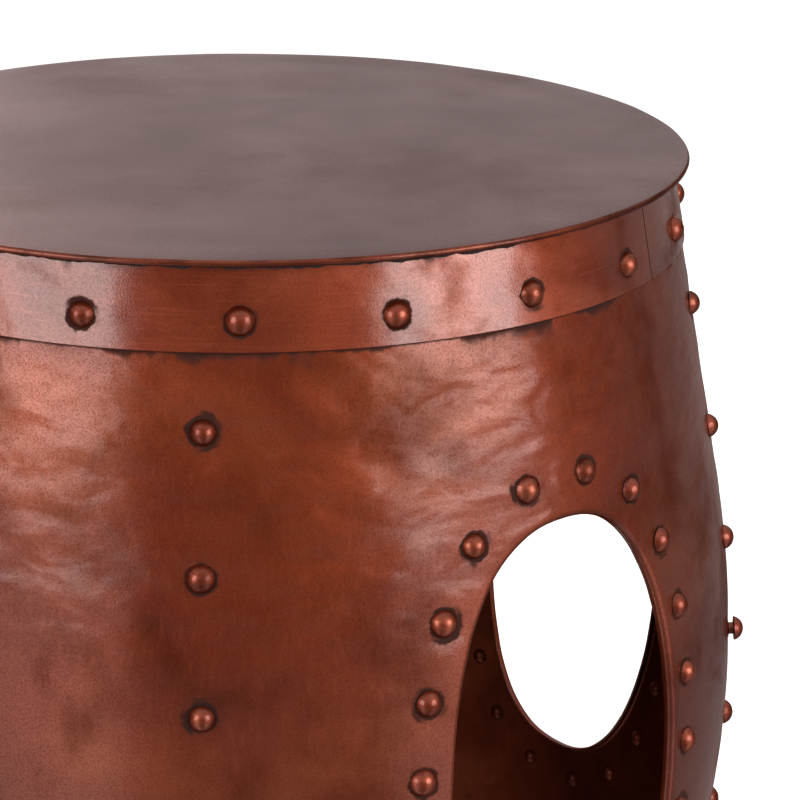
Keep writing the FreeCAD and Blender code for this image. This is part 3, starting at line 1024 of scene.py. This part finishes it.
# Pale floor, and studio light: tall softboxes left and right of the camera and behind the table, under
# a world that is white behind the table and overhead, and dark in front of it. Angles go from the camera
# round the table. Spans are cosines to a direction or levels from the horizon to straight up, at which
# a part of the world starts and is full.
view = {"azimuth": -37.2, "distance": 1.026, "height": 0.689, "yaw": 3.64, "pitch": 18.91, "roll": 0.69,
        "lens": 115.02, "sensor": 36.0}
studio = {
    "floorSize": 14.0,
    "worldFront": 0.11,
    "worldBack": 1.12,
    "backSpan": (0.86, 0.96),
    "worldLow": 0.45,
    "glowSpan": (0.89, 0.98),
    "horizonSpan": (-0.10, 0.02),
    "worldDome": 1.0,
    "domeSpan": (0.16, 0.36),
    "worldZenith": 1.6,
    "zenithSpan": (0.45, 0.85),
    "backdrop": 1.0,
    "softboxes": (
        {"name": "softboxLeft", "angle": -46.0, "distance": 1.7, "height": 0.87,
         "width": 0.98, "tall": 1.06, "power": 23.0, "floorGlow": 1.8},
        {"name": "softboxRight", "angle": 50.5, "distance": 1.8, "height": 0.88,
         "width": 1.16, "tall": 1.14, "power": 34.0, "floorGlow": 1.5},
        {"name": "softboxBack", "angle": -152.0, "distance": 1.8, "height": 0.80,
         "width": 0.96, "tall": 1.3, "power": 24.0, "floorGlow": 1.5},
    ),
}
viewAngle = math.radians(view["azimuth"])

reach = studio["floorSize"] / 2
floorCorners = [(-reach, -reach, 0), (reach, -reach, 0), (reach, reach, 0), (-reach, reach, 0)]
floorMesh = bpy.data.meshes.new("floor")
floorMesh.from_pydata(floorCorners, [], [(0, 1, 2, 3)])
floorMesh.materials.append(floorPaper)
floor = bpy.data.objects.new("floor", floorMesh)
bpy.context.scene.collection.objects.link(floor)
floor.visible_glossy = False

for box in studio["softboxes"]:
    light = bpy.data.lights.new(box["name"], "AREA")
    light.shape = "RECTANGLE"
    light.size = box["width"]
    light.size_y = box["tall"]
    light.energy = box["power"]
    lamp = bpy.data.objects.new(box["name"], light)
    lamp.location = around(viewAngle + math.radians(box["angle"]), box["distance"], box["height"]).tolist()
    lamp.visible_camera = False
    target = Vector((0, 0, box["height"]))
    lamp.rotation_euler = (target - lamp.location).to_track_quat("-Z", "Y").to_euler()
    bpy.context.scene.collection.objects.link(lamp)

world = bpy.data.worlds.new("studioWorld")
bpy.context.scene.world = world
world.use_nodes = True
tree = world.node_tree
sky = addNode(tree, "ShaderNodeTexCoord").outputs["Generated"]
backward = around(viewAngle + math.pi, 1.0, 0.0).tolist()
facing = addNode(tree, "ShaderNodeVectorMath", [sky, backward], operation="DOT_PRODUCT").outputs["Value"]
brights = (studio["worldFront"], studio["worldBack"])
glow = addNode(tree, "ShaderNodeMapRange", [facing, *studio["backSpan"], *brights], **smooth)
# Below the horizon the floor glows under each softbox.
flat = addNode(tree, "ShaderNodeVectorMath", [sky, (1.0, 1.0, 0.0)], operation="MULTIPLY")
flat = addNode(tree, "ShaderNodeVectorMath", [flat], operation="NORMALIZE")
ground = studio["worldLow"]
for box in studio["softboxes"]:
    boxward = around(viewAngle + math.radians(box["angle"]), 1.0, 0.0).tolist()
    under = addNode(tree, "ShaderNodeVectorMath", [flat, boxward], operation="DOT_PRODUCT").outputs["Value"]
    under = addNode(tree, "ShaderNodeMapRange", [under, *studio["glowSpan"], 0.0, box["floorGlow"]], **smooth)
    ground = addNode(tree, "ShaderNodeMath", [ground, under], operation="MAXIMUM")
level = addNode(tree, "ShaderNodeSeparateXYZ", [sky]).outputs["Z"]
raised = addNode(tree, "ShaderNodeMapRange", [level, *studio["horizonSpan"]], **smooth)
glow = addNode(tree, "ShaderNodeMix", [raised, None, ground, glow])
for part in ("Dome", "Zenith"):
    span = studio[part.lower() + "Span"]
    dome = addNode(tree, "ShaderNodeMapRange", [level, *span, 0.0, studio["world" + part]], **smooth)
    glow = addNode(tree, "ShaderNodeMath", [glow, dome], operation="MAXIMUM")
# The camera itself sees an even backdrop from every side.
seen = addNode(tree, "ShaderNodeLightPath").outputs["Is Camera Ray"]
glow = addNode(tree, "ShaderNodeMix", [seen, None, glow, studio["backdrop"]])
tree.links.new(glow.outputs[0], tree.nodes["Background"].inputs["Strength"])
tree.nodes["Background"].inputs["Color"].default_value = (1.0, 1.0, 1.0, 1.0)

# Camera of the photograph, turned about the drum to the side that it shows.
pitch, yaw, roll = (math.radians(view[name]) for name in ("pitch", "yaw", "roll"))
forward = Vector((math.sin(yaw) * math.cos(pitch), math.cos(yaw) * math.cos(pitch), -math.sin(pitch)))
right = forward.cross(Vector((0, 0, 1))).normalized()
upward = right.cross(forward)
cameraRight = math.cos(roll) * right + math.sin(roll) * upward
cameraUp = -math.sin(roll) * right + math.cos(roll) * upward
turned = Matrix((cameraRight, cameraUp, -forward)).transposed().to_4x4()
turned.translation = Vector((0, -view["distance"], view["height"]))
lens = bpy.data.cameras.new("camera")
lens.lens = view["lens"]
lens.sensor_width = view["sensor"]
camera = bpy.data.objects.new("camera", lens)
camera.matrix_world = Matrix.Rotation(viewAngle, 4, "Z") @ turned
bpy.context.scene.collection.objects.link(camera)
bpy.context.scene.camera = camera
bpy.context.scene.view_settings.view_transform = "Standard"
print("studio set")
